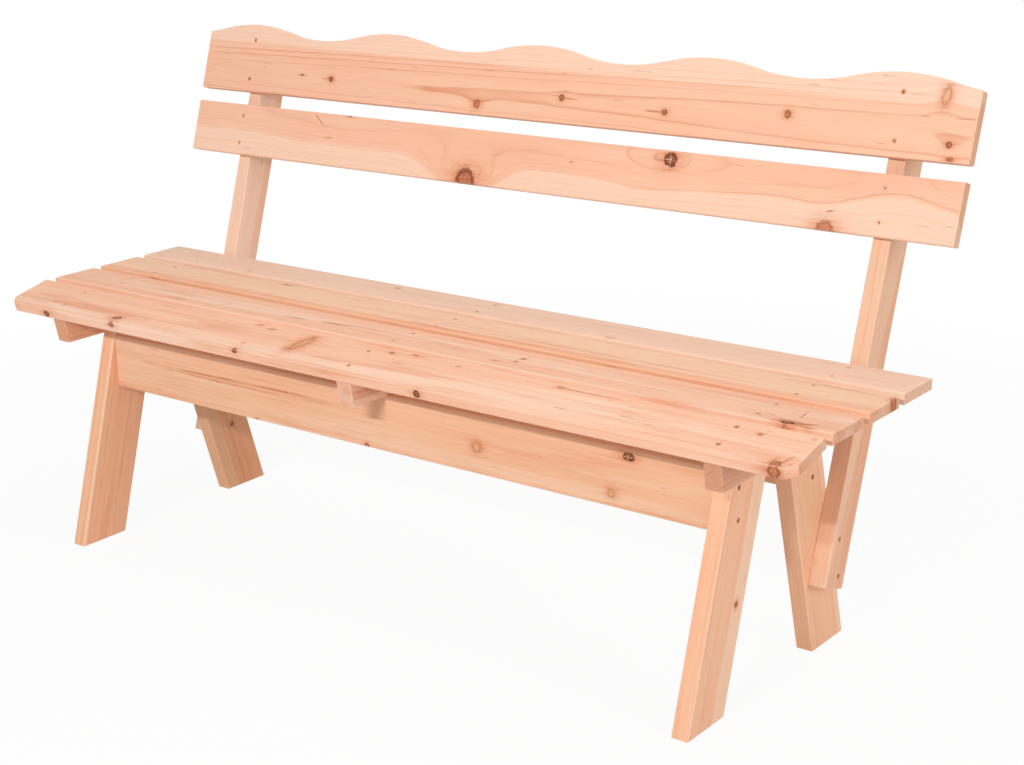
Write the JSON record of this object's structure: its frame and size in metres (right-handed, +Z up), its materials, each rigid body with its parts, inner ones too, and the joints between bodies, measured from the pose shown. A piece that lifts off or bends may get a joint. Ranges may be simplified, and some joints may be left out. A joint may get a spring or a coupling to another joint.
{
  "type": "garden bench",
  "caption": "Wooden garden bench with splayed board legs, a slatted seat with a sloping front slat, and a leaning back whose upper rail has a scalloped top edge.",
  "frame": {"origin": "on the floor, under the middle of the overall box", "axes": "+X along the bench to the sitter's left, +Y from the front to the back, +Z up"},
  "size_m": [1.5, 0.6044, 0.8296],
  "materials": {
    "top_back_rail": "planed, unvarnished",
    "lower_back_rail": "planed, unvarnished",
    "left_back_post": "planed, unvarnished",
    "right_back_post": "planed, unvarnished",
    "front_seat_slat": "planed, unvarnished",
    "second_seat_slat": "planed, unvarnished",
    "third_seat_slat": "planed, unvarnished",
    "rear_seat_slat": "planed, unvarnished",
    "left_seat_bearer": "planed, unvarnished",
    "centre_seat_bearer": "planed, unvarnished",
    "right_seat_bearer": "planed, unvarnished",
    "left_front_leg": "planed, unvarnished",
    "left_rear_leg": "planed, unvarnished",
    "right_front_leg": "planed, unvarnished",
    "right_rear_leg": "planed, unvarnished",
    "front_apron": "planed, unvarnished",
    "rear_apron": "planed, unvarnished",
    "slat_screws": "zinc plated",
    "rail_screws": "zinc plated",
    "apron_screws": "zinc plated",
    "bearer_screws": "zinc plated",
    "post_screws": "zinc plated",
    "centre_bearer_screws": "zinc plated"
  },
  "bodies": {
    "root": {"top_back_rail": "top_back_rail", "lower_back_rail": "lower_back_rail", "left_back_post": "left_back_post", "right_back_post": "right_back_post", "front_seat_slat": "front_seat_slat", "second_seat_slat": "second_seat_slat", "third_seat_slat": "third_seat_slat", "rear_seat_slat": "rear_seat_slat", "left_seat_bearer": "left_seat_bearer", "centre_seat_bearer": "centre_seat_bearer", "right_seat_bearer": "right_seat_bearer", "left_front_leg": "left_front_leg", "left_rear_leg": "left_rear_leg", "right_front_leg": "right_front_leg", "right_rear_leg": "right_rear_leg", "front_apron": "front_apron", "rear_apron": "rear_apron", "slat_screws": "slat_screws", "rail_screws": "rail_screws", "apron_screws": "apron_screws", "bearer_screws": "bearer_screws", "post_screws": "post_screws", "centre_bearer_screws": "centre_bearer_screws"}
  },
  "joints": []
}
